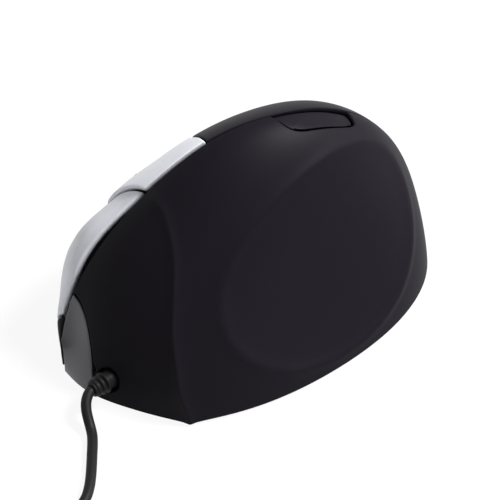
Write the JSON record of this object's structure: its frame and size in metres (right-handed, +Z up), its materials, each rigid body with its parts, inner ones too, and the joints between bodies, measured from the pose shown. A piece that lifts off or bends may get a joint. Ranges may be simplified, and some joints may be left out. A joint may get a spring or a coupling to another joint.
{
  "type": "vertical mouse",
  "caption": "Upright right-handed mouse for a handshake grip, with stacked finger keys, a wheel, a thumb key and a coiled cord with a plug.",
  "frame": {"origin": "middle of the body on the table, under the slide feet", "axes": "+Z up, -Y towards the nose where the cord leaves, +X towards the thumb side, -X towards the fingers"},
  "size_m": [0.077, 0.2091, 0.0667],
  "materials": {
    "soft_shell": "soft-touch coating over moulded plastic",
    "silver_cap": "satin silver paint",
    "smoke_trim": "semi-gloss dark grey",
    "thumb_cap": "soft-touch coating",
    "black_moulding": "fine-grained black plastic",
    "grey_moulding": "moulded grey plastic",
    "steel_pin": "plated steel",
    "green_board": "solder mask over glass laminate",
    "red_plunger": "moulded red plastic",
    "clear_lens": "clear moulding",
    "red_lamp": "clear red epoxy",
    "ivory_socket": "moulded ivory plastic",
    "black_rubber": "soft black vinyl",
    "slide_foot": "low-friction dark grey plastic",
    "plug_metal": "nickel-plated sheet",
    "white_insert": "moulded white plastic"
  },
  "bodies": {
    "shell": {"thumb_shell": "soft_shell", "palm_shell": "soft_shell", "nose_panel": "smoke_trim", "key_skirt": "soft_shell", "base_plate": "black_moulding", "hinge_rod": "steel_pin", "key_frame": "black_moulding", "key_board": "green_board", "key_switches": "black_moulding", "wheel_switch": "black_moulding", "thumb_pillar": "black_moulding", "thumb_switch": "black_moulding", "main_board": "green_board", "sensor_chip": "black_moulding", "sensor_lens": "clear_lens", "sensor_lamp": "red_lamp", "board_connector": "ivory_socket", "inner_lead": "black_rubber", "base_screws": "steel_pin", "board_screws": "steel_pin", "slide_feet": "slide_foot", "strain_relief": "black_rubber", "cord_run": "black_rubber", "cord_coil": "black_rubber", "cord_tail": "black_rubber", "cord_tie": "black_rubber", "plug_grip": "black_rubber", "plug_shell": "plug_metal", "plug_tongue": "white_insert"},
    "index_button": {"index_key": "silver_cap", "index_lever": "black_moulding"},
    "middle_button": {"middle_key": "silver_cap", "middle_lever": "black_moulding"},
    "ring_button": {"ring_key": "silver_cap", "ring_lever": "black_moulding"},
    "wheel_carriage": {"wheel_cradle": "black_moulding", "wheel_encoder": "grey_moulding"},
    "wheel": {"wheel_tyre": "black_rubber", "wheel_hub": "grey_moulding"},
    "thumb_button": {"thumb_key": "thumb_cap", "thumb_carrier": "black_moulding"},
    "index_switch_pin": {"index_plunger": "red_plunger"},
    "middle_switch_pin": {"middle_plunger": "red_plunger"},
    "ring_switch_pin": {"ring_plunger": "red_plunger"},
    "thumb_switch_pin": {"thumb_plunger": "red_plunger"}
  },
  "joints": [
    {"name": "index_press", "type": "hinge", "parent": "shell", "child": "index_button", "pos_m": [-0.00405, -0.00718, 0.05683], "axis": [0.4443, -0.2708, 0.854], "range_deg": [0, 1.4], "stiffness_Nm_per_rad": 0.5, "springref_deg": -1.72},
    {"name": "middle_press", "type": "hinge", "parent": "shell", "child": "middle_button", "pos_m": [-0.00405, -0.00718, 0.05683], "axis": [0.4443, -0.2708, 0.854], "range_deg": [0, 0.8], "stiffness_Nm_per_rad": 0.5, "springref_deg": -1.72},
    {"name": "ring_press", "type": "hinge", "parent": "shell", "child": "ring_button", "pos_m": [-0.00405, -0.00718, 0.05683], "axis": [0.4443, -0.2708, 0.854], "range_deg": [0, 0.8], "stiffness_Nm_per_rad": 0.5, "springref_deg": -1.72},
    {"name": "wheel_press", "type": "slide", "parent": "shell", "child": "wheel_carriage", "axis": [0.8951, 0.0946, -0.4357], "range_m": [0, 0.0006], "stiffness_N_per_m": 800, "springref_m": -0.0006},
    {"name": "wheel_spin", "type": "hinge", "parent": "wheel_carriage", "child": "wheel", "pos_m": [-0.02264, -0.01561, 0.03376], "axis": [-0.4364, 0.3861, -0.8127], "continuous": true},
    {"name": "thumb_press", "type": "slide", "parent": "shell", "child": "thumb_button", "axis": [-0.1271, -0.3214, -0.9384], "range_m": [0, 0.0007], "stiffness_N_per_m": 600, "springref_m": -0.0007},
    {"name": "index_pin_slide", "type": "slide", "parent": "shell", "child": "index_switch_pin", "axis": [0.8951, 0.0946, -0.4357], "range_m": [0, 0.0004]},
    {"name": "middle_pin_slide", "type": "slide", "parent": "shell", "child": "middle_switch_pin", "axis": [0.8951, 0.0946, -0.4357], "range_m": [0, 0.0003]},
    {"name": "ring_pin_slide", "type": "slide", "parent": "shell", "child": "ring_switch_pin", "axis": [0.8951, 0.0946, -0.4357], "range_m": [0, 0.0003]},
    {"name": "thumb_pin_slide", "type": "slide", "parent": "shell", "child": "thumb_switch_pin", "axis": [-0.1271, -0.3214, -0.9384], "range_m": [0, 0.0008]}
  ],
  "couplings": [
    {"joint": "index_pin_slide", "follows": "index_press", "m_per_rad": 0.012},
    {"joint": "middle_pin_slide", "follows": "middle_press", "m_per_rad": 0.012},
    {"joint": "ring_pin_slide", "follows": "ring_press", "m_per_rad": 0.012},
    {"joint": "thumb_pin_slide", "follows": "thumb_press", "ratio": 1}
  ]
}
